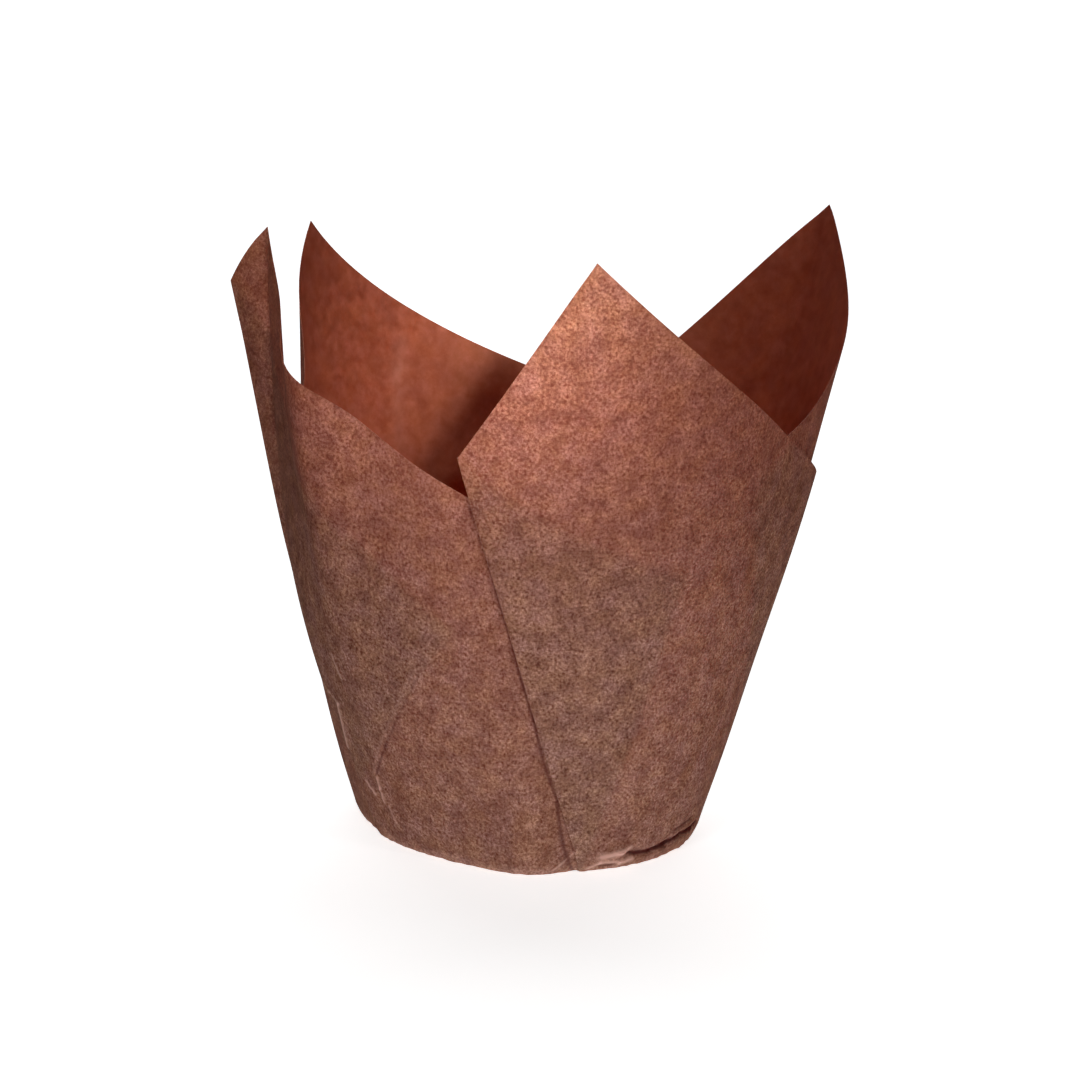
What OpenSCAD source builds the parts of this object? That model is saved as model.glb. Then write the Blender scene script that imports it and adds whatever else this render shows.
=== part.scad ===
// Cupcake liner: one square sheet of thin baking paper pressed into a round cup.
// The four corners of the sheet stand up as petals. Between two petals the paper
// is folded back on itself in a pleat of three layers: an outer petal, a middle
// layer and an inner petal. Lengths are in millimetres, angles in degrees.
// Frame: the centre of the underside of the base is the origin, +Z is up and
// the front of the cup faces -Y. Turns are counted from the front to the right,
// seen by someone who looks at the front.

/* [Cup] */
// Diameter of the round base at its folded edge
base_d = 50; // [44:1:56]
// Side of the square sheet before it is folded
sheet_side = 165; // [155:1:176]
// Slope of the wall away from upright, just above the base
flare = 17.7; // [15:0.1:20]
// Share of that slope that is lost again towards the tips
straighten = 0.4; // [0.3:0.01:0.55]
// Thickness of the paper
paper_t = 0.08; // [0.06:0.01:0.1]
// Space taken by one layer of a pleat, from paper centre to paper centre
layer_gap = 0.3; // [0.26:0.01:0.4]
// Height of the short edge that a fold turns round, measured past the fold
fold_nose = 0.12; // [0.1:0.01:0.2]

/* [Tips of the petals: front, right, back, left] */
// Turn at which each tip stands
tip_turn = [9.4, 122.2, 234.8, 286.9]; // [0:0.1:360]
// Length from base edge to tip, as a share of the reach of the sheet
tip_share = [0.998, 1.034, 0.962, 0.98]; // [0.9:0.002:1.06]
// Lean of each tip away from the plain cone, outwards is positive
tip_lean = [6.9, 13.3, 0.9, -3]; // [-4:0.1:14]
// Share of the cut edge over which the middle of a petal is rounded, below the tip
tip_round = 0.04; // [0.03:0.01:0.1]

/* [Left fold of each petal] */
// Turn at which the fold reaches the cut edge
left_turn = [-13.7, 50.2, 141.3, 279.6]; // [-20:0.1:285]
// Length from base edge to that corner, as a share of the reach
left_share = [0.694, 0.664, 0.626, 0.904]; // [0.55:0.002:0.93]
// Lean at that corner
left_lean = [1.4, 0.2, 2.9, 2.1]; // [0:0.1:5]

/* [Right fold of each petal] */
// Turn at which the fold reaches the cut edge
right_turn = [84, 173.6, 342.7, 393.4]; // [80:0.1:400]
// Length from base edge to that corner, as a share of the reach
right_share = [0.618, 0.584, 0.426, 0.52]; // [0.4:0.002:0.65]
// Lean at that corner
right_lean = [3.9, -0.5, -1.2, 0.8]; // [-1.5:0.1:4]

/* [Bulges of the petals] */
// Turn of the one soft bulge or hollow of each petal
bulge_turn = [60.1, 132.8, 263.3, 310.7]; // [50:0.1:320]
// Size of the bulge at the cut edge, a hollow is negative
bulge = [-2.6, -1, -6, 4.4]; // [-6.5:0.1:5]
// Turn over which the bulge fades
bulge_width = [20, 22, 20, 8.6]; // [8:0.1:25]
// Size of the round belly of the left side of the cup
belly = 0.6; // [0.3:0.1:1.2]
// Turn of that belly
belly_turn = 275; // [265:1:285]
// Size of the round belly of the right side of the cup
right_belly = 0.6; // [0:0.1:1]
// Turn of that belly
right_belly_turn = 60; // [50:1:70]
// Turn over which both bellies fade
belly_width = 35; // [30:1:40]

/* [Pleats to the left of each petal] */
// Turn at which each pleat starts near the base
pleat_turn = [17.1, 90, 165, 296]; // [14:0.1:300]
// Length above the base edge at which it starts
pleat_rise = [0, 4, 3, 9]; // [0:0.5:10]
// Sideways bow of the visible fold of each pleat
fold_bow = [1.6, 0, 0, 0]; // [0:0.1:2]
// Sheet is this many degrees short of overlapping where a pleat starts
pleat_start = 1; // [0.8:0.1:1.4]

/* [Foot of the wall] */
// How far the flat base ends inside the base edge, where the paper bends up
edge_round = 1.3; // [0.9:0.05:1.6]
// Height in which the bend ends
edge_round_h = 3; // [2:0.5:4]
// Amount by which the round base is drawn out into an oval
oval = 1.7; // [0:0.1:1.8]
// Turn of the oval's long direction
oval_turn = 37; // [0:1:60]
// Height in which the oval fades
oval_h = 25; // [20:1:32]
// Size of the bulge low on the front
foot_bulge = 1.5; // [0:0.1:1.7]
// Turn of that bulge
foot_turn = -1; // [-15:0.1:15]
// Turn over which that bulge fades
foot_width = 12; // [9:1:20]
// Height in which that bulge fades
foot_h = 10.5; // [6:0.5:16]

/* [Base crinkles] */
// Depth of the small flutes along the base edge
crinkle = 0.12; // [0.05:0.01:0.15]
// Number of flutes around the base
crinkle_count = 30; // [20:1:34]
// Height in which they fade
crinkle_h = 4; // [3:0.5:5]

/* [Hidden] */

base_r = base_d / 2;
reach = sheet_side / sqrt(2) - base_r;
slope = sin(flare);
// Distance from the base edge to the point in which the plain cone would end
cone_q = base_r / slope;
petals = [0, 1, 2, 3];
full_turn = 360;
// A petal lies outside (+1) or inside (-1) at its left and its right pleat
left_side = [1, -1, 1, 1];
right_side = [1, -1, -1, -1];
// Turn over which a petal passes from outside to inside before its right pleat
cross_over = [1, 1, 40, 12];
// Share of the reach over which the wall straightens
straighten_over = 0.98;
// Length over which the bellies come and go, as a share of the reach
belly_over = 0.82;
// How quickly the lean of a tip fades along the cut edge
lean_fade = 0.6;
// Largest share past the cut edge at which a wall shape is still read
past_edge = 1.1;

// Steps around the sheet: left part, right part and right pleat of each petal
left_steps = [7, 15, 20, 3];
right_steps = [19, 14, 24, 34];
pleat_steps = [9, 8, 8, 15];
rows = 14;
// Rows are closer together near the base
row_power = 1.35;
fold_samples = 40;

function last(list) = list[len(list) - 1];
function clamp(x, low, high) = min(max(x, low), high);
function ease(x) = let (c = clamp(x, 0, 1)) c * c * (3 - 2 * c);
function unit(v) = v / max(norm(v), 1e-9);
function bell(x, width) = exp(-(x / width) * (x / width));
// Difference of two turns, between minus a half turn and a half turn
function turn_gap(a, b) = let (d = a - b) d - full_turn * round(d / full_turn);
function mix(a, b, t) = a + (b - a) * t;

// The plain cone rolled out flat: turn and rise to a point of the plane and back
function unrolled(turn, rise) =
    let (c = turn * slope, q = cone_q + rise)
    [q * cos(c), q * sin(c)];
function rolled(p) = [atan2(p[1], p[0]) / slope, norm(p) - cone_q];

// A length that starts at nothing, with its start rounded over the radius r
function rounded(x, r) = sqrt(x * x + r * r) - r;
// How much of a tip's lean is gone along the cut edge, 0 at the tip and 1 at the corner
function lean_share(x) =
    let (start = pow(tip_round, lean_fade))
    (pow(x * x + tip_round * tip_round, lean_fade / 2) - start)
        / (pow(1 + tip_round * tip_round, lean_fade / 2) - start);

// Cut edge of a petal: a straight line in the rolled-out plane from the tip to
// the corner at the fold, so its distance follows from the two areas beside it.
// Gives that distance, the lean, and the distance with a rounded top.
function edge(k, turn) =
    let (
        left = turn < tip_turn[k],
        corner_turn = left ? left_turn[k] : right_turn[k],
        corner_rise = (left ? left_share[k] : right_share[k]) * reach,
        corner_lean = left ? left_lean[k] : right_lean[k],
        tip_q = cone_q + tip_share[k] * reach,
        corner_q = cone_q + corner_rise,
        whole = abs(corner_turn - tip_turn[k]) * slope,
        part = abs(turn - tip_turn[k]) * slope,
        q = tip_q * corner_q * sin(whole)
            / (tip_q * sin(part) + corner_q * sin(whole - part)),
        along = clamp(q * sin(part) / (corner_q * sin(whole)), 0, 1),
        drop = tip_q - q
    )
    [q - cone_q,
     mix(tip_lean[k], corner_lean, lean_share(along))
        + bulge[k] * bell(turn - bulge_turn[k], bulge_width[k]),
     tip_q - cone_q - sign(drop) * rounded(drop, tip_round * (tip_q - corner_q))];

// How far the wall has moved outwards since the flat base ended
function wall_out(k, turn, rise) =
    let (
        e = edge(k, turn),
        share = clamp(rise / e[2], 0, past_edge),
        swell = sin(180 * clamp(rise / (belly_over * reach), 0, 1)),
        bend = 1 - clamp(rise / edge_round_h, 0, 1)
    )
    rise * slope * (1 - straighten * rise / (straighten_over * reach))
    + edge_round * (1 - bend * bend)
    + e[1] * share * share
    + swell * belly * bell(turn_gap(turn, belly_turn), belly_width)
    + swell * right_belly * bell(turn_gap(turn, right_belly_turn), belly_width);

// Radius at which the flat base ends, with the oval, the bulge and the crinkles above it
function foot_r(turn, rise) =
    base_r - edge_round
    + oval * cos(2 * (turn - oval_turn)) * bell(rise, oval_h)
    + foot_bulge * bell(turn_gap(turn, foot_turn), foot_width) * bell(rise, foot_h)
    + crinkle * cos(crinkle_count * turn) * exp(-rise / crinkle_h);

// Point of a fold line, t runs from the base edge to the cut edge
function fold_at(k, side, t) =
    let (
        j = side < 0 ? k : (k + 1) % len(petals),
        lap = side > 0 && k == last(petals) ? full_turn : 0,
        start_turn = pleat_turn[j] + lap - side * pleat_start,
        start_rise = pleat_rise[j],
        end_turn = side < 0 ? left_turn[k] : right_turn[k],
        end_rise = (side < 0 ? left_share[k] : right_share[k]) * reach,
        rise = t * end_rise,
        part = (rise - start_rise) / (end_rise - start_rise),
        p = mix(unrolled(start_turn, start_rise), unrolled(end_turn, end_rise), part),
        bow = side < 0 ? fold_bow[k] * 4 * t * (1 - t) : 0
    )
    (rise < start_rise ? [start_turn, rise] : rolled(p)) + [bow, 0];

// Turn of the left fold of each petal at any rise
left_lines = [for (k = petals)
    [for (i = [0:fold_samples])
        let (f = fold_at(k, -1, i / fold_samples)) [f[1], f[0]]]];

// +1 where the petal is the outer layer, -1 where it is the inner one
function layer(k, turn, rise) =
    let (
        j = (k + 1) % len(petals),
        lap = k == last(petals) ? full_turn : 0,
        line = lookup(rise, left_lines[j]) + lap,
        far = cross_over[k]
    )
    left_side[k] == right_side[k] ? left_side[k]
    : mix(left_side[k], right_side[k], ease((turn - line + far) / max(far - 1, 1)));

// Point in space: what the wall moves outwards it loses in height, so the paper
// keeps its length. The aside is the distance of a layer from the middle one.
function spot(out, aside, turn, rise) =
    let (r = foot_r(turn, rise) + out + aside)
    [r * sin(turn), -r * cos(turn),
     paper_t / 2 + sqrt(max(rise * rise - out * out, 0))];

function petal_spot(k, turn, rise) =
    spot(wall_out(k, turn, rise), layer_gap * layer(k, turn, rise), turn, rise);

// Shares across a petal, with one step exactly at the tip
function petal_shares(k) =
    let (tip = (tip_turn[k] - left_turn[k]) / (right_turn[k] - left_turn[k]))
    [for (i = [0:left_steps[k] - 1]) tip * i / left_steps[k],
     for (i = [0:right_steps[k]]) mix(tip, 1, i / right_steps[k])];

// One row of the petal, from its left fold to its right fold
function petal_row(k, t) =
    let (
        a = fold_at(k, -1, t),
        b = fold_at(k, 1, t),
        shares = petal_shares(k)
    )
    [for (i = [0:len(shares) - 1])
        let (
            u = shares[i],
            turn = mix(a[0], b[0], u),
            top = edge(k, mix(left_turn[k], right_turn[k], u))[0],
            rise = i == 0 ? a[1] : (i == len(shares) - 1 ? b[1] : t * top)
        )
        petal_spot(k, turn, rise)];

// One row of the pleat at the right of petal k: a nose, the middle layer, a nose
function pleat_row(k, t) =
    let (
        j = (k + 1) % len(petals),
        lap = k == last(petals) ? full_turn : 0,
        a = fold_at(k, 1, t),
        b = fold_at(j, -1, t) + [lap, 0],
        pa = unrolled(a[0], a[1]),
        pb = unrolled(b[0], b[1]),
        outer_first = right_side[k] > 0,
        steps = pleat_steps[k] - 1,
        middle = [for (i = [0:steps])
            let (
                p = rolled(mix(pa, pb, i / steps)),
                w = (1 + i / steps) / 3
            )
            spot(
                mix(wall_out(k, p[0], p[1]), wall_out(j, p[0] - lap, p[1]), w),
                layer_gap * mix(layer(k, p[0], p[1]), layer(j, p[0] - lap, p[1]), w),
                p[0], p[1])],
        along_a = [cos(a[0]), sin(a[0]), 0],
        along_b = [cos(b[0]), sin(b[0]), 0]
    )
    [mix(petal_spot(k, a[0], a[1]), middle[0], 1 / 2) + along_a * fold_nose,
     each middle,
     mix(petal_spot(j, b[0] - lap, b[1]), last(middle), 1 / 2) - along_b * fold_nose];

// The middle of the paper as rows of points that run all the way around
function sheet_row(t) = [for (k = petals) each concat(petal_row(k, t), pleat_row(k, t))];
sheet = [for (r = [0:rows]) sheet_row(pow(r / rows, row_power))];
around = len(sheet[0]);

// Direction of the outer face of the paper at one point
function facing(r, c) =
    let (
        here = sheet[r][c],
        next = sheet[r][(c + 1) % around],
        before = sheet[r][(c + around - 1) % around],
        up = sheet[min(r + 1, rows)][c] - sheet[max(r - 1, 0)][c]
    )
    unit(cross(unit(unit(next - here) + unit(here - before)), unit(up)));

// Face of the paper on one side of its middle, +1 outside and -1 inside
function skin(side) = [for (r = [0:rows]) [for (c = [0:around - 1])
    let (p = sheet[r][c] + facing(r, c) * side * paper_t / 2)
    r == 0 ? [p[0], p[1], side > 0 ? 0 : paper_t] : p]];

function vertex(side, r, c) = side * (rows + 1) * around + r * around + c % around;

// The whole folded sheet as one closed body: outer face, inner face, base, cut edge
module folded_sheet() {
    centre = 2 * (rows + 1) * around;
    color("sienna")
    polyhedron(
        points = [
            each [for (row = skin(1)) each row],
            each [for (row = skin(-1)) each row],
            [0, 0, 0],
            [0, 0, paper_t]
        ],
        faces = [
            for (r = [0:rows - 1]) for (c = [0:around - 1]) each [
                [vertex(0, r, c), vertex(0, r + 1, c + 1), vertex(0, r, c + 1)],
                [vertex(0, r, c), vertex(0, r + 1, c), vertex(0, r + 1, c + 1)],
                [vertex(1, r, c), vertex(1, r, c + 1), vertex(1, r + 1, c + 1)],
                [vertex(1, r, c), vertex(1, r + 1, c + 1), vertex(1, r + 1, c)]
            ],
            for (c = [0:around - 1]) each [
                [vertex(0, 0, c), vertex(0, 0, c + 1), centre],
                [vertex(1, 0, c), centre + 1, vertex(1, 0, c + 1)],
                [vertex(0, rows, c), vertex(1, rows, c + 1), vertex(0, rows, c + 1)],
                [vertex(0, rows, c), vertex(1, rows, c), vertex(1, rows, c + 1)]
            ]
        ]
    );
}

folded_sheet();
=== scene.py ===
# Cupcake liner: one square sheet of brown baking paper, folded into a round cup with four
# standing petals and pressed pleats between them. Metres, +Z up, the front faces -Y.
import bpy
import numpy as np
from mathutils import Matrix, Vector


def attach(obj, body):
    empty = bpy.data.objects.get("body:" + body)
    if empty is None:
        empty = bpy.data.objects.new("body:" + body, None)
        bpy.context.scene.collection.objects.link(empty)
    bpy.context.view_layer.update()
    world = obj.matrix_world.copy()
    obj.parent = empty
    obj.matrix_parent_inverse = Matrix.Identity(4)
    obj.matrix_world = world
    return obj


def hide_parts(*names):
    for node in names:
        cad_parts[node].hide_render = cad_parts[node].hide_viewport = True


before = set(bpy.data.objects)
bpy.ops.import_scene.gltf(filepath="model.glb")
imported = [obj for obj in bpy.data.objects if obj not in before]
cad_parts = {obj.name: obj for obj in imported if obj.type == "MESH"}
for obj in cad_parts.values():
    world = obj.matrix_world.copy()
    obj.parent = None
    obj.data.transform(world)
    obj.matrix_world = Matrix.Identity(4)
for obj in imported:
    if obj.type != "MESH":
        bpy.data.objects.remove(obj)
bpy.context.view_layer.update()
mm = 0.001
rng = np.random.default_rng(7)

# The cup that the sheet is folded into. Lengths in mm, turns in degrees from the front to
# the right. Lists hold the front, right, back and left petal; tip is its point, left and right
# are its lower corners, and a pleat is the one at its left. A rise is the length along the wall
# from the base, a share is a rise as part of the sheet's reach, a lean points outwards.
cup = {
    "baseD": 50.0, "sheetSide": 165.0, "flare": 17.7, "straighten": 0.4, "straightenOver": 0.98,
    "paperT": 0.08, "layerGap": 0.3, "foldNose": 0.12,
    "leanFade": 0.6, "tipRound": 0.04, "pastEdge": 1.1,
    "tipTurn": [9.4, 122.2, 234.8, 286.9],
    "tipShare": [0.998, 1.034, 0.962, 0.98],
    "tipLean": [6.9, 13.3, 0.9, -3.0],
    "leftTurn": [-13.7, 50.2, 141.3, 279.6],
    "leftShare": [0.694, 0.664, 0.626, 0.904],
    "leftLean": [1.4, 0.2, 2.9, 2.1],
    "rightTurn": [84.0, 173.6, 342.7, 393.4],
    "rightShare": [0.618, 0.584, 0.426, 0.52],
    "rightLean": [3.9, -0.5, -1.2, 0.8],
    "bulgeTurn": [60.1, 132.8, 263.3, 310.7],
    "bulge": [-2.6, -1.0, -6.0, 4.4],
    "bulgeWidth": [20.0, 22.0, 20.0, 8.6],
    "belly": 0.6, "bellyTurn": 275.0, "rightBelly": 0.6, "rightBellyTurn": 60.0,
    "bellyWidth": 35.0, "bellyOver": 0.82,
    "pleatTurn": [17.1, 90.0, 165.0, 296.0],
    "pleatRise": [0.0, 4.0, 3.0, 9.0],
    "foldBow": [1.6, 0.0, 0.0, 0.0],
    "pleatStart": 1.0,
    "edgeRound": 1.3, "edgeRoundH": 3.0, "oval": 1.7, "ovalTurn": 37.0, "ovalH": 25.0,
    "footBulge": 1.5, "footTurn": -1.0, "footWidth": 12.0, "footH": 10.5,
    "leftSide": [1, -1, 1, 1], "rightSide": [1, -1, -1, -1],   # outer layer 1, inner layer -1
    "crossOver": [1.0, 1.0, 40.0, 12.0],   # degrees over which a petal changes its layer
}
cup["baseR"] = cup["baseD"] / 2
cup["reach"] = cup["sheetSide"] / np.sqrt(2) - cup["baseR"]
cup["slope"] = np.sin(np.radians(cup["flare"]))
cup["coneQ"] = cup["baseR"] / cup["slope"]

# How finely the sheet is divided: rows from the base to the edge (rowEven is the part of their
# spacing that is even, the rest widens upwards), degrees between columns of a petal and of a
# pleat, fewest columns left of a tip, rings of the base, points along a fold line, and the
# angle in degrees from which an edge is shaded sharp
steps = {
    "rows": 80, "rowEven": 0.25, "turnStep": [0.7, 1.5, 2.0, 0.7], "fewest": 6, "pleatStep": 3.0,
    "baseRings": 5, "linePoints": 41, "sharpFrom": 50,
}


def ease(x):  # 3c^2 - 2c^3 of x held between 0 and 1
    c = np.clip(x, 0, 1)
    return c * c * (3 - 2 * c)


def bell(x, width):  # e to the power -(x/width)^2
    return np.exp(-(x / width) ** 2)


def turnGap(a, b):  # a - b brought between minus and plus half a turn
    return (a - b + 180) % 360 - 180


def mix(a, b, t):  # straight line from a at t = 0 to b at t = 1
    return a + (b - a) * t


# The plain cone rolled out flat: angle = turn*slope, distance = coneQ + rise
def unrolled(turn, rise):
    c, q = np.radians(turn * cup["slope"]), cup["coneQ"] + rise
    return np.stack(np.broadcast_arrays(q * np.cos(c), q * np.sin(c)))


# The way back: turn = angle/slope, rise = distance - coneQ
def rolled(p):
    turn = np.degrees(np.arctan2(p[1], p[0])) / cup["slope"]
    return turn, np.hypot(p[0], p[1]) - cup["coneQ"]


def rounded(x, r):  # sqrt(x^2 + r^2) - r: a length whose start is rounded over r
    return np.sqrt(x * x + r * r) - r


# (x^2 + r^2)^(fade/2), stretched to run from 0 at the tip to 1 at the corner
def leanShare(x):
    r, half = cup["tipRound"], cup["leanFade"] / 2
    start = (r * r) ** half
    return ((x * x + r * r) ** half - start) / ((1 + r * r) ** half - start)


# The cut edge of petal k, a straight line from tip to corner on the rolled-out cone:
# q = tipQ*cornerQ*sin(whole) / (tipQ*sin(part) + cornerQ*sin(whole - part)).
# Returns its rise, its lean (from tip to corner, plus a bulge) and the rise with a rounded top.
def edgeAt(k, turn):
    left = turn < cup["tipTurn"][k]
    cornerTurn = np.where(left, cup["leftTurn"][k], cup["rightTurn"][k])
    cornerRise = np.where(left, cup["leftShare"][k], cup["rightShare"][k]) * cup["reach"]
    cornerLean = np.where(left, cup["leftLean"][k], cup["rightLean"][k])
    tipQ = cup["coneQ"] + cup["tipShare"][k] * cup["reach"]
    cornerQ = cup["coneQ"] + cornerRise
    whole = np.radians(np.abs(cornerTurn - cup["tipTurn"][k]) * cup["slope"])
    part = np.radians(np.abs(turn - cup["tipTurn"][k]) * cup["slope"])
    q = tipQ * cornerQ * np.sin(whole) / (tipQ * np.sin(part) + cornerQ * np.sin(whole - part))
    along = np.clip(q * np.sin(part) / (cornerQ * np.sin(whole)), 0, 1)
    lean = mix(cup["tipLean"][k], cornerLean, leanShare(along))
    lean = lean + cup["bulge"][k] * bell(turn - cup["bulgeTurn"][k], cup["bulgeWidth"][k])
    drop = tipQ - q
    roundTop = tipQ - np.sign(drop) * rounded(drop, cup["tipRound"] * (tipQ - cornerQ))
    return q - cup["coneQ"], lean, roundTop - cup["coneQ"]


# Outward move = rise*slope*(1 - straighten*rise/reach) + round base edge + lean*share^2
# + two bellies that swell as half a sine wave
def wallOut(k, turn, rise):
    lean, top = edgeAt(k, turn)[1:]
    share = np.clip(rise / top, 0, cup["pastEdge"])
    swell = np.sin(np.pi * np.clip(rise / (cup["bellyOver"] * cup["reach"]), 0, 1))
    bend = 1 - np.clip(rise / cup["edgeRoundH"], 0, 1)
    straight = cup["straighten"] * rise / (cup["straightenOver"] * cup["reach"])
    cone = rise * cup["slope"] * (1 - straight)
    edge = cup["edgeRound"] * (1 - bend * bend)
    belly = cup["belly"] * bell(turnGap(turn, cup["bellyTurn"]), cup["bellyWidth"])
    right = cup["rightBelly"] * bell(turnGap(turn, cup["rightBellyTurn"]), cup["bellyWidth"])
    return cone + edge + lean * share ** 2 + swell * (belly + right)


# Radius of the flat base + oval*cos(2*turn) + front bulge, both fading upwards
def footR(turn, rise):
    bulge = cup["footBulge"] * bell(turnGap(turn, cup["footTurn"]), cup["footWidth"])
    oval = cup["oval"] * np.cos(2 * np.radians(turn - cup["ovalTurn"])) * bell(rise, cup["ovalH"])
    return cup["baseR"] - cup["edgeRound"] + oval + bulge * bell(rise, cup["footH"])


# Fold line on the left (-1) or right (1) side of petal k: upright up to the pleat's start, then
# start + (end - start)*t on the rolled-out cone, with a bow 4*t*(1 - t) on the left side
def foldAt(k, side, t):
    j, lap = (k, 0) if side < 0 else ((k + 1) % 4, 360 * (k == 3))
    startTurn = cup["pleatTurn"][j] + lap - side * cup["pleatStart"]
    startRise = cup["pleatRise"][j]
    endTurn = (cup["leftTurn"] if side < 0 else cup["rightTurn"])[k]
    endRise = (cup["leftShare"] if side < 0 else cup["rightShare"])[k] * cup["reach"]
    rise = t * endRise
    part = (rise - startRise) / (endRise - startRise)
    start, end = unrolled(startTurn, startRise), unrolled(endTurn, endRise)
    turn, up = rolled(mix(start[:, None], end[:, None], part[None]))
    low = rise < startRise
    bow = cup["foldBow"][k] * 4 * t * (1 - t) if side < 0 else 0
    return np.where(low, startTurn, turn) + bow, np.where(low, rise, up)


leftLines = [foldAt(k, -1, np.linspace(0, 1, steps["linePoints"])) for k in range(4)]


def layerAt(k, turn, rise):  # 1 on the outer layer, -1 on the inner one, eased in between
    a, b = cup["leftSide"][k], cup["rightSide"][k]
    lineTurn, lineRise = leftLines[(k + 1) % 4]
    line = np.interp(rise, lineRise, lineTurn) + 360 * (k == 3)
    far = cup["crossOver"][k]
    return mix(a, b, ease((turn - line + far) / max(far - 1, 1)) if a != b else 0 * turn)


# Small forms that the pressing and handling left. Each crease is a ridge between two points,
# given as turn and rise, with its width and height in mm; a negative height is a groove.
# In the colour each ridge also gets a painted highlight and each groove a painted shade.
marks = {
    "creases": [
        [305.2, 31.0, 307.2, 27.8, 0.35, 0.22], [294.8, 23.8, 300.2, 22.5, 0.35, 0.20],
        [300.2, 22.5, 297.0, 15.0, 0.45, 0.34],
        [302.2, 10.4, 305.8, 8.7, 0.40, 0.36], [309.5, 12.1, 310.5, 10.3, 0.35, 0.32],
        [310.5, 10.3, 310.0, 8.0, 0.40, 0.30], [311.8, 7.5, 313.0, 5.0, 0.40, 0.14],
        [22.5, 3.3, 29.2, 3.6, 0.45, 0.34], [29.2, 3.6, 31.8, 4.2, 0.40, 0.30],
        [19.2, 1.7, 22.5, 2.5, 0.35, 0.26], [22.5, 2.5, 29.2, 2.3, 0.35, 0.26],
        [29.5, 2.1, 32.8, 2.4, 0.55, 0.30], [9.2, 2.0, 15.0, 4.3, 0.35, 0.22],
        [23.0, 1.8, 27.5, 1.8, 0.30, -0.30],
        [31.8, 3.3, 40.2, 2.9, 0.35, -0.40], [40.2, 2.9, 46.2, 3.3, 0.35, -0.44],
        [46.2, 3.3, 53.5, 3.8, 0.35, -0.40], [53.5, 3.8, 66.8, 3.9, 0.35, -0.38],
        [42.2, 3.3, 48.0, 3.8, 0.30, -0.22], [49.5, 5.0, 58.5, 5.6, 0.35, -0.30],
        [210.3, 68.5, 211.9, 64.0, 2.00, 0.02], [211.9, 64.0, 213.5, 52.0, 2.00, 0.02],
    ],
    # drawn only as colour: painted shade (negative) and painted highlight lines along edges that
    # lie under the paper and along the groove at the front of the foot
    "paintedShadeAndHighlight": [
        [309.2, 12.1, 318.2, 18.3, 0.30, -0.26], [318.2, 18.3, 324.8, 23.4, 0.30, -0.18],
        [324.8, 23.4, 333.2, 30.9, 0.30, -0.10], [333.2, 30.9, 339.2, 36.6, 0.30, -0.05],
        [308.0, 12.4, 317.0, 18.8, 0.40, 0.07], [317.0, 18.8, 332.0, 31.4, 0.40, 0.05],
        [23.5, 3.1, 31.0, 3.6, 0.70, 0.16], [61.0, 3.7, 61.6, 4.0, 0.70, -0.45],
        [34.0, 3.1, 46.2, 3.1, 0.50, -0.16], [46.2, 3.3, 64.0, 4.0, 0.60, -0.16],
    ],
    # painted shadow beside the front fold: width, depth, turn from the fold, points of the line per
    # piece
    "foldShade": [0.26, -0.30, -0.6, 8],
    "creaseEnd": 1.6,                  # length of a crease's end, in widths of the crease
    # fine crinkles of the base edge: height, the height that they fade in, waves around and phase
    "flutes": 0.05, "fluteH": 3.0, "fluteWaves": [(31, 0.4), (47, 2.1), (67, 4.0), (89, 5.2)],
    # slow unevenness of the whole sheet: height, start height, waves around and slant per mm
    "wave": 0.32, "waveFrom": 12, "waveCount": 9, "wavesAround": [2, 11], "waveSlant": 0.16,
    # step in the sheet over the hidden layer at the lower left; it begins stepAhead before its
    # first point, is whole stepLead further on, fades over stepTail of its length and sinks
    # back over stepBack
    "stepDepth": 0.18, "stepWidth": 0.5, "stepFrom": [308.6, 11.6], "stepTo": [339.2, 36.6],
    "stepAhead": 1.5, "stepLead": 2, "stepTail": 0.7, "stepBack": 9,
    "lightPaintPerMm": 2.4, "lineWidth": 0.75,    # painted highlight per mm of ridge height and painted shade per mm of groove depth, drawn width of a crease
    # turns from which a mark lies on the back and on the left petal, and how far beyond the
    # front fold's start it still lies on the left one
    "backFrom": 180, "leftFrom": 290, "leftPast": 2,
}
wavePhase = rng.uniform(0, 2 * np.pi, marks["waveCount"])
waveTurns = rng.integers(*marks["wavesAround"], marks["waveCount"])
waveRise = rng.uniform(-marks["waveSlant"], marks["waveSlant"], marks["waveCount"])


def flatPoint(turn, rise):  # arc length and rise of a place on the wall, in mm
    arc = np.radians(turn) * (cup["baseR"] + rise * cup["slope"])
    return np.stack(np.broadcast_arrays(arc, rise))


# Distance along and across the line from a to b, and the line's length, in mm
def alongLine(turn, rise, a, b):
    middle = (a[0] + b[0]) / 2
    near = middle + turnGap(turn, middle)
    p, pa, pb = flatPoint(near, rise), flatPoint(*a), flatPoint(*b)
    way = (pb - pa) / np.hypot(*(pb - pa))
    d = p - pa.reshape(2, *[1] * (p.ndim - 1))
    return d[0] * way[0] + d[1] * way[1], d[0] * way[1] - d[1] * way[0], np.hypot(*(pb - pa))


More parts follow.
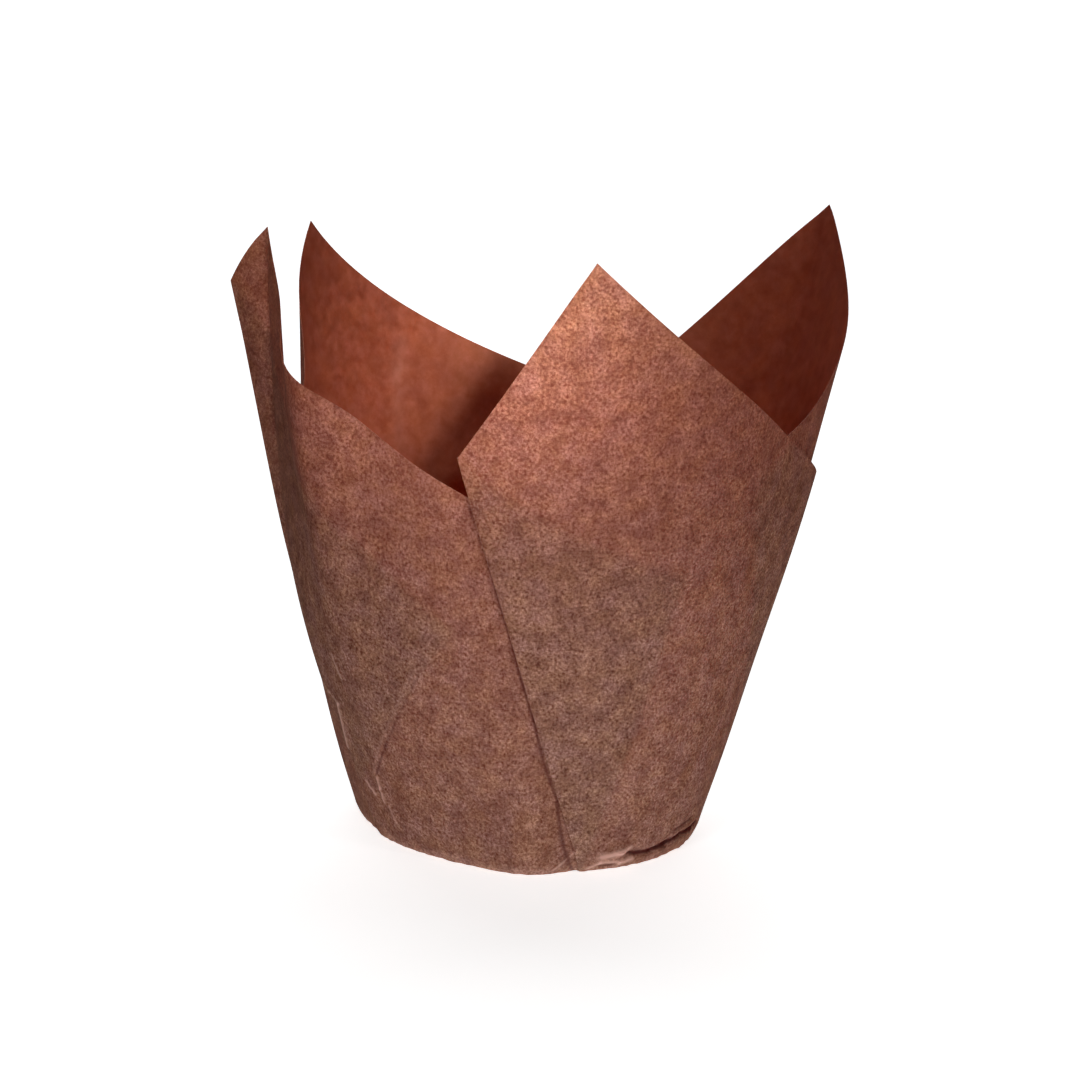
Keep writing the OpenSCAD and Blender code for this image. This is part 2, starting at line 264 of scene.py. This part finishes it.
# Mean of slow cosine waves + sum of fine ones * exp(-rise/fluteH)
# + for each crease height*bell(across)*bell(past its ends) - one eased step across a line
def reliefAt(turn, rise):
    slow = sum(np.cos(np.radians(n * turn) + k * rise + p)
               for n, k, p in zip(waveTurns, waveRise, wavePhase)) / marks["waveCount"]
    fine = sum(np.cos(np.radians(n * turn) + p) for n, p in marks["fluteWaves"])
    out = marks["wave"] * slow * ease(rise / marks["waveFrom"])
    out = out + marks["flutes"] * fine * np.exp(-rise / marks["fluteH"])
    for t0, r0, t1, r1, width, height in marks["creases"]:
        along, across, length = alongLine(turn, rise, (t0, r0), (t1, r1))
        past = np.maximum(np.maximum(-along, along - length), 0)
        out = out + height * bell(across, width) * bell(past, width * marks["creaseEnd"])
    along, across, length = alongLine(turn, rise, marks["stepFrom"], marks["stepTo"])
    lead = ease((along + marks["stepAhead"]) / marks["stepLead"])
    tail = ease((length - along) / (marks["stepTail"] * length))
    side = ease(across / marks["stepWidth"] + 0.5)
    side = side * np.exp(-np.maximum(across, 0) / marks["stepBack"])
    return out - marks["stepDepth"] * lead * tail * side


# Radius = foot + out + aside + relief, height = sqrt(rise^2 - out^2)
def spotAt(out, aside, turn, rise):
    r = footR(turn, rise) + out + aside + reliefAt(turn, rise)
    a = np.radians(turn)
    z = cup["paperT"] / 2 + np.sqrt(np.maximum(rise ** 2 - out ** 2, 0))
    return np.stack([r * np.sin(a), -r * np.cos(a), z], -1)


def petalSpot(k, turn, rise):  # the wall's place, moved by the gap to the outer or inner layer
    return spotAt(wallOut(k, turn, rise), cup["layerGap"] * layerAt(k, turn, rise), turn, rise)


# Place on the flat square: distance baseR + rise from its centre, and beside the petal's tip
# the same arc as on the cup
def sheetPoint(k, turn, rise):
    q = cup["baseR"] + rise
    arc = np.radians(turn - cup["tipTurn"][k]) * (cup["baseR"] + rise * cup["slope"])
    a = np.radians(90 * k) + arc / q
    return np.stack([q * np.cos(a), q * np.sin(a)], -1)


# Columns from the left to the right fold of petal k, rows from the base to the cut edge
def petalBlock(k, t):
    (leftTurn, leftRise), (rightTurn, rightRise) = foldAt(k, -1, t), foldAt(k, 1, t)
    low, tip, high = cup["leftTurn"][k], cup["tipTurn"][k], cup["rightTurn"][k]
    before = max(int(round((tip - low) / steps["turnStep"][k])), steps["fewest"])
    after = int(round((high - tip) / steps["turnStep"][k]))
    u = np.concatenate([np.arange(before) / before * (tip - low),
                        tip - low + np.arange(after + 1) / after * (high - tip)]) / (high - low)
    turn = mix(leftTurn[:, None], rightTurn[:, None], u)
    rise = t[:, None] * edgeAt(k, mix(low, high, u))[0]
    rise[:, 0], rise[:, -1] = leftRise, rightRise
    return petalSpot(k, turn, rise), sheetPoint(k, turn, rise)


# Nose, middle layer and nose between petal k and the next one. The middle layer runs straight
# from fold to fold on the rolled-out cone, at 1/3 to 2/3 of the way between the two petals.
def pleatBlock(k, t):
    j, lap = (k + 1) % 4, 360 * (k == 3)
    (aTurn, aRise), (bTurn, bRise) = foldAt(k, 1, t), foldAt(j, -1, t)
    wide = abs(cup["rightTurn"][k] - cup["leftTurn"][j] - lap)
    w = np.linspace(0, 1, int(round(wide / steps["pleatStep"])) + 2)
    start, end = unrolled(aTurn, aRise), unrolled(bTurn + lap, bRise)
    turn, rise = rolled(mix(start[..., None], end[..., None], w))
    third = (1 + w) / 3
    out = mix(wallOut(k, turn, rise), wallOut(j, turn - lap, rise), third)
    aside = cup["layerGap"] * mix(layerAt(k, turn, rise), layerAt(j, turn - lap, rise), third)
    middle = spotAt(out, aside, turn, rise)
    along = [np.stack([np.cos(a), np.sin(a), 0 * a], -1) for a in np.radians([aTurn, bTurn])]
    first = (petalSpot(k, aTurn, aRise) + middle[:, 0]) / 2 + along[0] * cup["foldNose"]
    last = (petalSpot(j, bTurn, bRise) + middle[:, -1]) / 2 - along[1] * cup["foldNose"]
    flat = sheetPoint(k, 2 * aTurn[:, None] - turn, rise)
    return (np.concatenate([first[:, None], middle, last[:, None]], 1),
            np.concatenate([flat[:, :1], flat, flat[:, -1:]], 1))


def unit(v):  # v divided by its length
    return v / np.maximum(np.linalg.norm(v, axis=-1, keepdims=True), 1e-12)


def outwards(grid):  # cross product of the mean way around and the way up
    around = unit(unit(np.roll(grid, -1, 1) - grid) + unit(grid - np.roll(grid, 1, 1)))
    up = np.gradient(grid, axis=0)
    return unit(np.cross(around, unit(up)))


def ringFaces(rows, columns, start, flip):  # quads between rows of a grid that closes on itself
    r, c = np.meshgrid(np.arange(rows - 1), np.arange(columns), indexing="ij")
    n = (c + 1) % columns
    here, above = r * columns, (r + 1) * columns
    quad = np.stack([here + c, here + n, above + n, above + c], -1).reshape(-1, 4) + start
    return quad[:, ::-1] if flip else quad


# Puts arrays into a new mesh object: points in mm, for each its place on the flat sheet and
# whether it is on the inside, which gives the face that starts with it the second material
def meshPiece(name, points, quads, triangles, flat, inside):
    mesh = bpy.data.meshes.new(name)
    corners = np.concatenate([quads.ravel(), triangles.ravel()])
    sizes = np.concatenate([np.full(len(quads), 4), np.full(len(triangles), 3)])
    starts = np.concatenate([[0], np.cumsum(sizes)[:-1]])
    mesh.vertices.add(len(points))
    mesh.vertices.foreach_set("co", (points * mm).astype(np.float32).ravel())
    mesh.loops.add(len(corners))
    mesh.loops.foreach_set("vertex_index", corners.astype(np.int32))
    mesh.polygons.add(len(sizes))
    mesh.polygons.foreach_set("loop_start", starts.astype(np.int32))
    mesh.update(calc_edges=True)
    mesh.validate()
    uv = mesh.uv_layers.new(name="flatSheet")
    uv.data.foreach_set("uv", flat[corners].astype(np.float32).ravel())
    mesh.polygons.foreach_set("use_smooth", np.ones(len(sizes), bool))
    mesh.polygons.foreach_set("material_index", inside[corners[starts]].astype(np.int32))
    mesh.set_sharp_from_angle(angle=np.radians(steps["sharpFrom"]))
    piece = bpy.data.objects.new(name, mesh)
    bpy.context.scene.collection.objects.link(piece)
    return piece


# The whole sheet: the middle of the paper as one grid that closes on itself, half the
# thickness to either side of it, the cut edge between them and the flat base below
def foldSheet():
    s = np.linspace(0, 1, steps["rows"] + 1)
    t = steps["rowEven"] * s + (1 - steps["rowEven"]) * s ** 2
    blocks = [make(k, t) for k in range(4) for make in (petalBlock, pleatBlock)]
    grid, flat = (np.concatenate(parts, 1) for parts in zip(*blocks))
    rows, columns = grid.shape[:2]
    half = outwards(grid) * cup["paperT"] / 2
    outer, inner = grid + half, grid - half
    outer[0, :, 2], inner[0, :, 2] = 0, cup["paperT"]
    # the flat base: each ring is the base edge drawn in towards the centre
    share = np.linspace(1, 0, steps["baseRings"] + 1)[1:-1, None, None]
    under, over = outer[0] * share, inner[0] * share
    over[..., 2] = cup["paperT"]
    wallFlat, baseFlat = flat.reshape(-1, 2), (flat[0] * share).reshape(-1, 2)
    centres = [[0, 0, 0], [0, 0, cup["paperT"]]]
    points = np.concatenate([outer.reshape(-1, 3), inner.reshape(-1, 3), under.reshape(-1, 3),
                             over.reshape(-1, 3), centres])
    places = np.concatenate([wallFlat, wallFlat, baseFlat, baseFlat, np.zeros((2, 2))])
    wallN, baseN = rows * columns, len(share) * columns
    inside = np.repeat([0, 1, 0, 1, 0, 1], [wallN, wallN, baseN, baseN, 1, 1])
    c = np.arange(columns)
    n = (c + 1) % columns
    edgeRow = (rows - 1) * columns
    rim = np.stack([edgeRow + c, edgeRow + n, wallN + edgeRow + n, wallN + edgeRow + c], -1)
    underStart, overStart = 2 * wallN, 2 * wallN + baseN
    joinUnder = np.stack([c, underStart + c, underStart + n, n], -1)
    joinOver = np.stack([wallN + c, wallN + n, overStart + n, overStart + c], -1)
    quads = np.concatenate([
        ringFaces(rows, columns, 0, False), ringFaces(rows, columns, wallN, True), rim,
        joinUnder, joinOver,
        ringFaces(len(share), columns, underStart, True),
        ringFaces(len(share), columns, overStart, False)])
    lastUnder, lastOver = underStart + baseN - columns, overStart + baseN - columns
    centre = overStart + baseN
    triangles = np.concatenate([
        np.stack([lastUnder + n, lastUnder + c, np.full(columns, centre)], -1),
        np.stack([lastOver + c, lastOver + n, np.full(columns, centre + 1)], -1)])
    print("sheet", rows, "rows", columns, "columns", 2 * len(quads) + len(triangles), "triangles")
    return meshPiece("foldedPaper", points, quads, triangles, places, inside)


liner = foldSheet()


# Brown greaseproof paper: red-brown with short pale and dark fibres and a slow cloudiness. The
# inside is smoother and darker, with a satin shine; light that comes through is deep red-orange.
# Towards the tips the sheet is painted redder, a painted glow of the light that shines through the
# thin tips; around the foot it is paler and greyer. Each noise has its scale per mm, its detail and
# the two values at which its two colours are reached.
paper = {
    "outside": {
        "fibre": (2.5, 4, 0.31, 0.72),
        "dark": (0.106, 0.028, 0.015), "light": (0.490, 0.240, 0.185),
        "speck": [(0.78, 0.72, 0.69), (1.26, 1.34, 1.38)],
        "patch": [(0.74, 0.67, 0.63), (1.28, 1.36, 1.40)],
        "roughness": 0.62, "specular": 0.45, "shine": (1.0, 0.85, 0.75), "bump": 0.35,
        # factors at distances in mm from the sheet's centre; the redder ones near the tips are a
        # painted glow of light through the paper
        "rings": [(30, (1.27, 1.37, 1.22)), (62, (1.17, 1.20, 1.08)), (78, (0.97, 0.91, 0.78)),
                  (96, (0.95, 0.78, 0.64)), (112, (1.10, 0.96, 0.73))],
    },
    "inside": {
        "fibre": (0.6, 4, 0.25, 0.75),
        "dark": (0.162, 0.036, 0.017), "light": (0.346, 0.102, 0.053),
        "speck": [(0.93, 0.93, 0.93), (1.08, 1.08, 1.08)],
        "patch": [(0.84, 0.82, 0.80), (1.16, 1.19, 1.21)],
        "roughness": 0.5, "specular": 1.0, "shine": (1.0, 0.42, 0.24), "bump": 0.15,
        "rings": [],
    },
    "speckNoise": (5.2, 2, 0.33, 0.70), "patchNoise": (0.42, 3, 0.33, 0.67),
    "cloudNoise": (0.30, 3, 0.35, 0.65), "noiseRoughness": 0.6, "bumpHeight": 0.05,
    "cloud": [(1.03, 1.02, 0.92), (0.97, 0.97, 1.09)],
    # pale is the painted highlight on crease ridges, deep the painted shade in grooves and beside
    # folds
    "pale": (0.90, 0.56, 0.45), "deep": (0.070, 0.014, 0.010),
    "through": (0.95, 0.22, 0.10), "throughShare": 0.29, "sheetReach": 120.0,
}


def addNode(tree, kind, place, **values):
    node = tree.nodes.new("ShaderNode" + kind)
    node.location = place
    for key, value in values.items():
        setattr(node, key, value)
    return node


def noiseOn(tree, vector, scale, detail, place):
    node = addNode(tree, "TexNoise", place)
    node.inputs["Scale"].default_value = scale
    node.inputs["Detail"].default_value = detail
    node.inputs["Roughness"].default_value = paper["noiseRoughness"]
    tree.links.new(vector, node.inputs["Vector"])
    return node.outputs["Fac"]


def rampOn(tree, source, stops, place):  # colours at values of the source, straight in between
    node = addNode(tree, "ValToRGB", place)
    ramp = node.color_ramp
    for i, (at, colour) in enumerate(stops):
        stop = ramp.elements[i] if i < 2 else ramp.elements.new(at)
        stop.position, stop.color = at, (*colour, 1)
    tree.links.new(source, node.inputs["Fac"])
    return node.outputs["Color"]


# A noise and the colours that its low and its high value give
def noiseColour(tree, vector, noise, colours, x, y):
    scale, detail, low, high = noise
    value = noiseOn(tree, vector, scale, detail, (x, y))
    return value, rampOn(tree, value, [(low, colours[0]), (high, colours[1])], (x + 300, y))


def mixColour(tree, kind, share, a, b, place):
    node = addNode(tree, "Mix", place, data_type="RGBA", blend_type=kind)
    for name, value in (("Factor_Float", share), ("A_Color", a), ("B_Color", b)):
        socket = next(i for i in node.inputs if i.identifier == name)
        if isinstance(value, bpy.types.NodeSocket):
            tree.links.new(value, socket)
        else:
            socket.default_value = value
    return next(o for o in node.outputs if o.identifier == "Result_Color")


# Value = e^-(d/Width)^2, where d is the distance of Point from the line that begins at Start and
# goes Length far in the direction Way
def makeLineGroup():
    group = bpy.data.node_groups.new("creaseLine", "ShaderNodeTree")
    kinds = {"Point": "NodeSocketVector", "Start": "NodeSocketVector", "Way": "NodeSocketVector",
             "Length": "NodeSocketFloat", "Width": "NodeSocketFloat"}
    for name, kind in kinds.items():
        group.interface.new_socket(name, in_out="INPUT", socket_type=kind)
    group.interface.new_socket("Value", in_out="OUTPUT", socket_type="NodeSocketFloat")
    source = group.nodes.new("NodeGroupInput").outputs
    target = group.nodes.new("NodeGroupOutput").inputs

    def step(kind, operation, inputs, output):
        node = addNode(group, kind, (0, 0), operation=operation)
        for socket, value in inputs.items():
            if isinstance(value, bpy.types.NodeSocket):
                group.links.new(value, node.inputs[socket])
            else:
                node.inputs[socket].default_value = value
        return node.outputs[output]

    offset = step("VectorMath", "SUBTRACT", {0: source["Point"], 1: source["Start"]}, 0)
    along = step("VectorMath", "DOT_PRODUCT", {0: offset, 1: source["Way"]}, "Value")
    held = step("Math", "MAXIMUM", {0: along, 1: 0.0}, 0)
    held = step("Math", "MINIMUM", {0: held, 1: source["Length"]}, 0)
    foot = step("VectorMath", "SCALE", {0: source["Way"], "Scale": held}, 0)
    away = step("VectorMath", "DISTANCE", {0: offset, 1: foot}, "Value")
    part = step("Math", "DIVIDE", {0: away, 1: source["Width"]}, 0)
    square = step("Math", "MULTIPLY", {0: part, 1: part}, 0)
    minus = step("Math", "MULTIPLY", {0: square, 1: -1.0}, 0)
    group.links.new(step("Math", "EXPONENT", {0: minus}, 0), target["Value"])
    return group


# The petal that a mark lies on, and how many degrees further that petal counts the turn: up to
# the front fold the sheet that is seen from the front belongs to the left petal
def petalOf(turn):
    if turn > marks["leftFrom"]:
        return 3, 0
    if turn > marks["backFrom"]:
        return 2, 0
    return (3, 360) if turn < cup["pleatTurn"][0] + marks["leftPast"] else (0, 0)


# Pieces of the front fold's line, moved aside onto the left petal, as marks of one width and depth:
# the painted shadow in the gap under the fold
def foldShades():
    width, depth, beside, every = marks["foldShade"]
    turn, rise = leftLines[0][0][::every] + beside + 360, leftLines[0][1][::every]
    return [[*ends, width, depth] for ends in zip(turn, rise, turn[1:], rise[1:])]


# Sum over all marks of height * line value, on the flat sheet: positive is painted highlight,
# negative is painted shade
def creaseLightPaint(tree, flat, lineGroup):
    total = None
    lines = marks["creases"] + marks["paintedShadeAndHighlight"] + foldShades()
    for i, (t0, r0, t1, r1, width, height) in enumerate(lines):
        k, lap = petalOf(t0)
        a = sheetPoint(k, np.array(t0 + lap), np.array(r0))
        b = sheetPoint(k, np.array(t1 + lap), np.array(r1))
        node = addNode(tree, "Group", (-1100, -700 - 60 * i), node_tree=lineGroup)
        node.inputs["Start"].default_value = (*a, 0)
        node.inputs["Way"].default_value = (*unit(b - a), 0)
        node.inputs["Length"].default_value = float(np.hypot(*(b - a)))
        node.inputs["Width"].default_value = width * marks["lineWidth"]
        tree.links.new(flat, node.inputs["Point"])
        sized = addNode(tree, "Math", (-900, -700 - 60 * i), operation="MULTIPLY_ADD")
        sized.inputs[1].default_value = height
        sized.inputs[2].default_value = 0.0
        tree.links.new(node.outputs["Value"], sized.inputs[0])
        if total:
            tree.links.new(total, sized.inputs[2])
        total = sized.outputs[0]
    return total


# Factors that run over the sheet with the distance from its centre
def ringsOn(tree, flat, rings):
    far = addNode(tree, "VectorMath", (-1250, -400), operation="LENGTH")
    part = addNode(tree, "Math", (-1100, -400), operation="DIVIDE")
    part.inputs[1].default_value = paper["sheetReach"]
    tree.links.new(flat, far.inputs[0])
    tree.links.new(far.outputs["Value"], part.inputs[0])
    stops = [(distance / paper["sheetReach"], factor) for distance, factor in rings]
    return rampOn(tree, part.outputs[0], stops, (-800, -450))


def shareOf(tree, source, factor, place):  # source * factor held between 0 and 1
    node = addNode(tree, "Math", place, operation="MULTIPLY", use_clamp=True)
    node.inputs[1].default_value = factor
    tree.links.new(source, node.inputs[0])
    return node.outputs[0]


# Colour = fibres * specks * patches * clouds * rings, with a painted highlight on ridges and a
# painted shade in grooves and beside folds;
# surface = a share of light that comes through and the rest of it plain paper with a little shine
def makePaper(name, side, lineGroup):
    material = bpy.data.materials.new(name)
    material.use_nodes = True
    tree = material.node_tree
    tree.nodes.clear()
    flat = addNode(tree, "UVMap", (-1400, 0), uv_map="flatSheet").outputs["UV"]
    inSpace = addNode(tree, "TexCoord", (-1600, 200)).outputs["Object"]
    inMm = addNode(tree, "VectorMath", (-1400, 200), operation="SCALE")
    inMm.inputs["Scale"].default_value = 1 / mm
    tree.links.new(inSpace, inMm.inputs[0])
    point = inMm.outputs[0]
    ends = side["dark"], side["light"]
    fibre, colour = noiseColour(tree, point, side["fibre"], ends, -1100, 200)
    speck = noiseColour(tree, point, paper["speckNoise"], side["speck"], -1100, 0)[1]
    patch = noiseColour(tree, point, paper["patchNoise"], side["patch"], -1100, 400)[1]
    cloud = noiseColour(tree, point, paper["cloudNoise"], paper["cloud"], -1100, -200)[1]
    factors = [speck, patch, cloud]
    if side["rings"]:
        factors.append(ringsOn(tree, flat, side["rings"]))
    for i, factor in enumerate(factors):
        colour = mixColour(tree, "MULTIPLY", 1.0, colour, factor, (-500 + 100 * i, 150))
    crease = creaseLightPaint(tree, flat, lineGroup)
    # pale paint on ridges is a painted highlight, dark paint in grooves and beside folds is painted
    # shade
    paintedHighlight = shareOf(tree, crease, marks["lightPaintPerMm"], (-500, -650))
    paintedShade = shareOf(tree, crease, -marks["lightPaintPerMm"], (-500, -800))
    colour = mixColour(tree, "MIX", paintedHighlight, colour, (*paper["pale"], 1), (-100, 200))
    colour = mixColour(tree, "MIX", paintedShade, colour, (*paper["deep"], 1), (-50, 250))
    through = mixColour(tree, "MULTIPLY", 1.0, cloud, (*paper["through"], 1), (-300, -250))
    bump = addNode(tree, "Bump", (-300, -450))
    bump.inputs["Strength"].default_value = side["bump"]
    bump.inputs["Distance"].default_value = paper["bumpHeight"] * mm
    tree.links.new(fibre, bump.inputs["Height"])
    surface = addNode(tree, "BsdfPrincipled", (0, 100))
    surface.inputs["Roughness"].default_value = side["roughness"]
    surface.inputs["Specular IOR Level"].default_value = side["specular"]
    surface.inputs["Specular Tint"].default_value = (*side["shine"], 1)
    behind = addNode(tree, "BsdfTranslucent", (0, -250))
    both = addNode(tree, "MixShader", (300, 0))
    both.inputs["Fac"].default_value = paper["throughShare"]
    out = addNode(tree, "OutputMaterial", (500, 0))
    tree.links.new(colour, surface.inputs["Base Color"])
    tree.links.new(through, behind.inputs["Color"])
    tree.links.new(bump.outputs["Normal"], surface.inputs["Normal"])
    tree.links.new(surface.outputs["BSDF"], both.inputs[1])
    tree.links.new(behind.outputs["BSDF"], both.inputs[2])
    tree.links.new(both.outputs["Shader"], out.inputs["Surface"])
    return material


lineGroup = makeLineGroup()
for name, side in (("paperOutside", paper["outside"]), ("paperInside", paper["inside"])):
    liner.data.materials.append(makePaper(name, side, lineGroup))
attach(liner, "root")
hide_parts("folded_sheet")
print("paper done")

# The place it stands in: a white floor and backdrop that glow a little, spots on the petals,
# weak lights from both sides and soft ones from behind and below. Turns run from the front to
# the right, lengths are in metres.
studio = {
    # camera place, direction of view, the picture's right, focal length in picture widths
    "camera": (0.0, -0.36440, 0.12113), "forward": (0.00415, 0.97737, -0.21152),
    "right": (0.99987, -0.00075, 0.01614), "focal": 2531.5 / 1080, "sensor": 36.0,
    # aim point, turn, climb, radius of the lit ring, strength (1 lights a white sheet to 1)
    "spots": {
        "frontSpot": [(-0.012, 0.010, 0.075), 7.5, 10, 0.034, 1.08],
        "leftSpot": [(-0.002, -0.025, 0.038), -22, 12, 0.045, 0.18],
        "rightSpot": [(0.025, -0.025, 0.045), 50, 18, 0.050, 0.20],
        "wideSpot": [(-0.016, 0.0, 0.060), 12, 10, 0.032, 0.31],
        "highSpot": [(0.0, -0.030, 0.065), 10, 16, 0.030, 0.10],
    },
    # turn, climb, angle that the light fills, strength
    "suns": {
        "leftSun": [-30, 18, 8, 0.19], "lowSun": [30, 2, 8, 0.17],
        "backSun": [180, 50, 70, 0.48], "nearSun": [16, 10, 4, 0.09],
        "floorLight": [0, -88, 70, 0.78],
    },
    "spotFar": 0.4, "spotSize": 0.012, "sky": 0.02,
    # half its width, how far it lies under the part, height of the backdrop
    "floorSide": 3.0, "floorDrop": 0.0002, "backHeight": 0.6,
    "floorGlow": 0.74, "floorColour": 0.9, "floorRoughness": 0.9,
}


def placeCamera():
    data = bpy.data.cameras.new("view")
    data.sensor_width = studio["sensor"]
    data.lens = studio["focal"] * studio["sensor"]
    camera = bpy.data.objects.new("view", data)
    bpy.context.scene.collection.objects.link(camera)
    forward, right = np.array(studio["forward"]), np.array(studio["right"])
    up = np.cross(right, forward)
    turn = Matrix(np.stack([right, up, -forward], 1).tolist()).to_4x4()
    camera.matrix_world = Matrix.Translation(studio["camera"]) @ turn
    bpy.context.scene.camera = camera


# Unit vector to a lamp: (sin t cos c, -cos t cos c, sin c)
def towards(turn, climb):
    t, c = np.radians(turn), np.radians(climb)
    return Vector((np.sin(t) * np.cos(c), -np.cos(t) * np.cos(c), np.sin(c)))


def hangLamp(name, kind, place, way, energy):
    data = bpy.data.lights.new(name, kind)
    data.energy = energy
    lamp = bpy.data.objects.new(name, data)
    bpy.context.scene.collection.objects.link(lamp)
    lamp.matrix_world = Matrix.Translation(place) @ way.to_track_quat("Z", "Y").to_matrix().to_4x4()
    return data


# Spot power = strength * 4 pi^2 * distance^2, sun power = strength * pi
def hangLamps():
    far = studio["spotFar"]
    for name, (aim, turn, climb, ring, strength) in studio["spots"].items():
        way = towards(turn, climb)
        power = strength * (2 * np.pi * far) ** 2
        data = hangLamp(name, "SPOT", Vector(aim) + way * far, way, power)
        data.spot_size, data.spot_blend = 2 * np.arctan(ring / far), 1.0
        data.shadow_soft_size = studio["spotSize"]
    for name, (turn, climb, angle, strength) in studio["suns"].items():
        way = towards(turn, climb)
        hangLamp(name, "SUN", way, way, strength * np.pi).angle = np.radians(angle)


def layFloor():
    side, high = studio["floorSide"], studio["backHeight"]
    mesh = bpy.data.meshes.new("floor")
    mesh.from_pydata([(-side, -side, 0), (side, -side, 0), (side, side, 0), (-side, side, 0),
                      (side, side, high), (-side, side, high)], [], [(0, 1, 2, 3), (3, 2, 4, 5)])
    floor = bpy.data.objects.new("floor", mesh)
    bpy.context.scene.collection.objects.link(floor)
    floor.location.z = -studio["floorDrop"]
    material = bpy.data.materials.new("paleFloor")
    material.use_nodes = True
    surface = material.node_tree.nodes["Principled BSDF"]
    surface.inputs["Base Color"].default_value = (*[studio["floorColour"]] * 3, 1)
    surface.inputs["Roughness"].default_value = studio["floorRoughness"]
    surface.inputs["Specular IOR Level"].default_value = 0.0
    surface.inputs["Emission Color"].default_value = (1, 1, 1, 1)
    surface.inputs["Emission Strength"].default_value = studio["floorGlow"]
    mesh.materials.append(material)
    # the cup gets its light from below from floorLight, which shines through the floor
    floor.visible_diffuse = floor.visible_glossy = False
    floor.visible_transmission = floor.visible_shadow = False


def hangSky():
    world = bpy.data.worlds.new("sky")
    bpy.context.scene.world = world
    world.use_nodes = True
    sky = world.node_tree.nodes["Background"]
    sky.inputs["Color"].default_value = (1, 1, 1, 1)
    sky.inputs["Strength"].default_value = studio["sky"]


placeCamera()
hangLamps()
layFloor()
hangSky()
bpy.context.scene.view_settings.view_transform = "Standard"
print("studio done")
